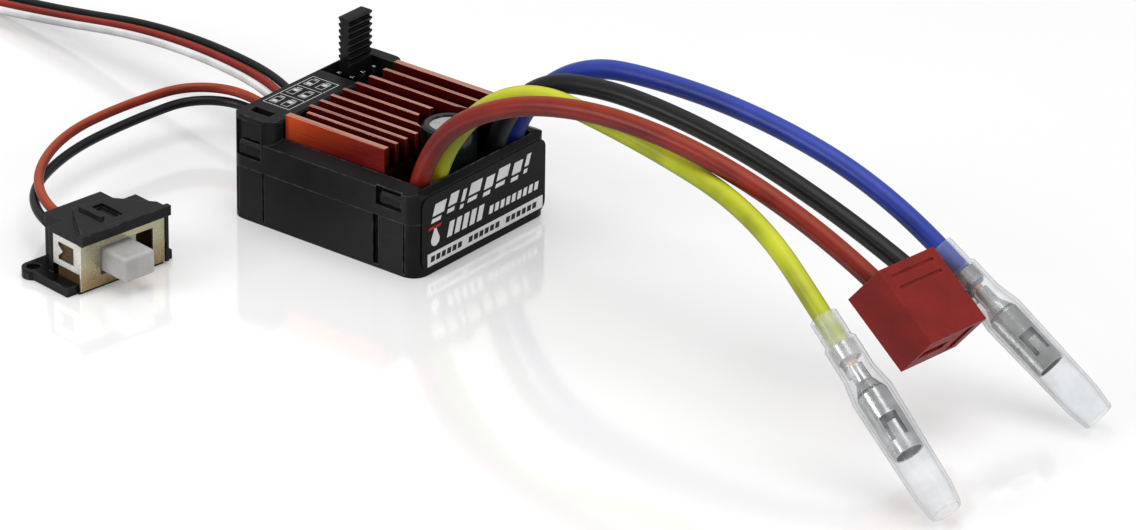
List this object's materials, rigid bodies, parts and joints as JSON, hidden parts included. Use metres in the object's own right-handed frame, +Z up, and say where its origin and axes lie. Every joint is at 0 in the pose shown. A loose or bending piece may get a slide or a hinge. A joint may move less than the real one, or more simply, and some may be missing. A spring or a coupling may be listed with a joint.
{
  "type": "electronic speed controller",
  "caption": "Brushed motor speed controller in a clipped plastic case with a finned red heatsink, curved power wires with connectors, a receiver lead and a wired slide switch.",
  "frame": {"origin": "centre of the flat underside of the case", "axes": "+X along the case towards the end where the power wires leave, +Y across the case towards the pin header side, +Z up out of the underside"},
  "size_m": [0.246, 0.0733, 0.0354],
  "materials": {
    "case_base": "moulded plastic, fine texture",
    "case_top": "moulded plastic, fine texture",
    "front_label": "printed film",
    "settings_label": "printed film",
    "heatsink": "anodised red",
    "thermal_pad": "soft silicone pad",
    "main_board": "coated glass-fibre board",
    "mosfets": "moulded packages",
    "microcontroller": "moulded package",
    "bec_regulators": "moulded packages",
    "ceramic_capacitors": "sintered ceramic",
    "chip_resistors": "coated ceramic",
    "status_led": "clear red package",
    "capacitor_can": "bright drawn",
    "capacitor_sleeve": "shrunk film",
    "capacitor_bung": "moulded rubber",
    "capacitor_leads": "tinned wire",
    "header_base": "moulded",
    "header_pins": "gold flashed",
    "jumper_cap": "moulded, ribbed grip",
    "jumper_clip": "tinned spring strip",
    "solder_joints": "solder",
    "red_wire": "soft silicone insulation",
    "red_wire_core": "stranded copper",
    "black_wire": "soft silicone insulation",
    "black_wire_core": "stranded copper",
    "yellow_wire": "soft silicone insulation",
    "yellow_wire_core": "stranded copper",
    "blue_wire": "soft silicone insulation",
    "blue_wire_core": "stranded copper",
    "battery_plug": "moulded nylon",
    "battery_plug_contacts": "gold plated",
    "yellow_receptacle": "tinned sheet",
    "yellow_sleeve": "soft clear vinyl, frosted",
    "blue_receptacle": "tinned sheet",
    "blue_sleeve": "soft clear vinyl, frosted",
    "switch_holder": "moulded",
    "switch_frame": "plated sheet",
    "switch_body": "phenolic board and body",
    "switch_slider": "translucent nylon",
    "switch_contact": "spring strip",
    "switch_terminals": "tinned strip",
    "switch_wire_red": "insulation",
    "switch_wire_black": "insulation",
    "switch_wire_cores": "stranded copper",
    "receiver_wire_black": "insulation",
    "receiver_wire_red": "insulation",
    "receiver_wire_white": "insulation",
    "receiver_wire_cores": "stranded copper",
    "receiver_plug": "moulded",
    "receiver_plug_contacts": "gold flashed"
  },
  "bodies": {
    "controller": {"case_base": "case_base", "case_top": "case_top", "front_label": "front_label", "settings_label": "settings_label", "heatsink": "heatsink", "thermal_pad": "thermal_pad", "main_board": "main_board", "mosfets": "mosfets", "microcontroller": "microcontroller", "bec_regulators": "bec_regulators", "ceramic_capacitors": "ceramic_capacitors", "chip_resistors": "chip_resistors", "status_led": "status_led", "capacitor_can": "capacitor_can", "capacitor_sleeve": "capacitor_sleeve", "capacitor_bung": "capacitor_bung", "capacitor_leads": "capacitor_leads", "header_base": "header_base", "header_pins": "header_pins", "solder_joints": "solder_joints", "red_wire": "red_wire", "red_wire_core": "red_wire_core", "black_wire": "black_wire", "black_wire_core": "black_wire_core", "yellow_wire": "yellow_wire", "yellow_wire_core": "yellow_wire_core", "blue_wire": "blue_wire", "blue_wire_core": "blue_wire_core", "battery_plug": "battery_plug", "battery_plug_contacts": "battery_plug_contacts", "yellow_receptacle": "yellow_receptacle", "yellow_sleeve": "yellow_sleeve", "blue_receptacle": "blue_receptacle", "blue_sleeve": "blue_sleeve", "switch_holder": "switch_holder", "switch_frame": "switch_frame", "switch_body": "switch_body", "switch_terminals": "switch_terminals", "switch_wire_red": "switch_wire_red", "switch_wire_black": "switch_wire_black", "switch_wire_cores": "switch_wire_cores", "receiver_wire_black": "receiver_wire_black", "receiver_wire_red": "receiver_wire_red", "receiver_wire_white": "receiver_wire_white", "receiver_wire_cores": "receiver_wire_cores", "receiver_plug": "receiver_plug", "receiver_plug_contacts": "receiver_plug_contacts"},
    "jumper": {"jumper_cap": "jumper_cap", "jumper_clip": "jumper_clip"},
    "switch_knob": {"switch_slider": "switch_slider", "switch_contact": "switch_contact"}
  },
  "joints": [
    {"name": "jumper_lift", "type": "slide", "parent": "controller", "child": "jumper", "axis": [0, 0, 1], "range_m": [0, 0.007]},
    {"name": "switch_slide", "type": "slide", "parent": "controller", "child": "switch_knob", "axis": [0.1478, 0.989, 0], "range_m": [0, 0.0036]}
  ]
}
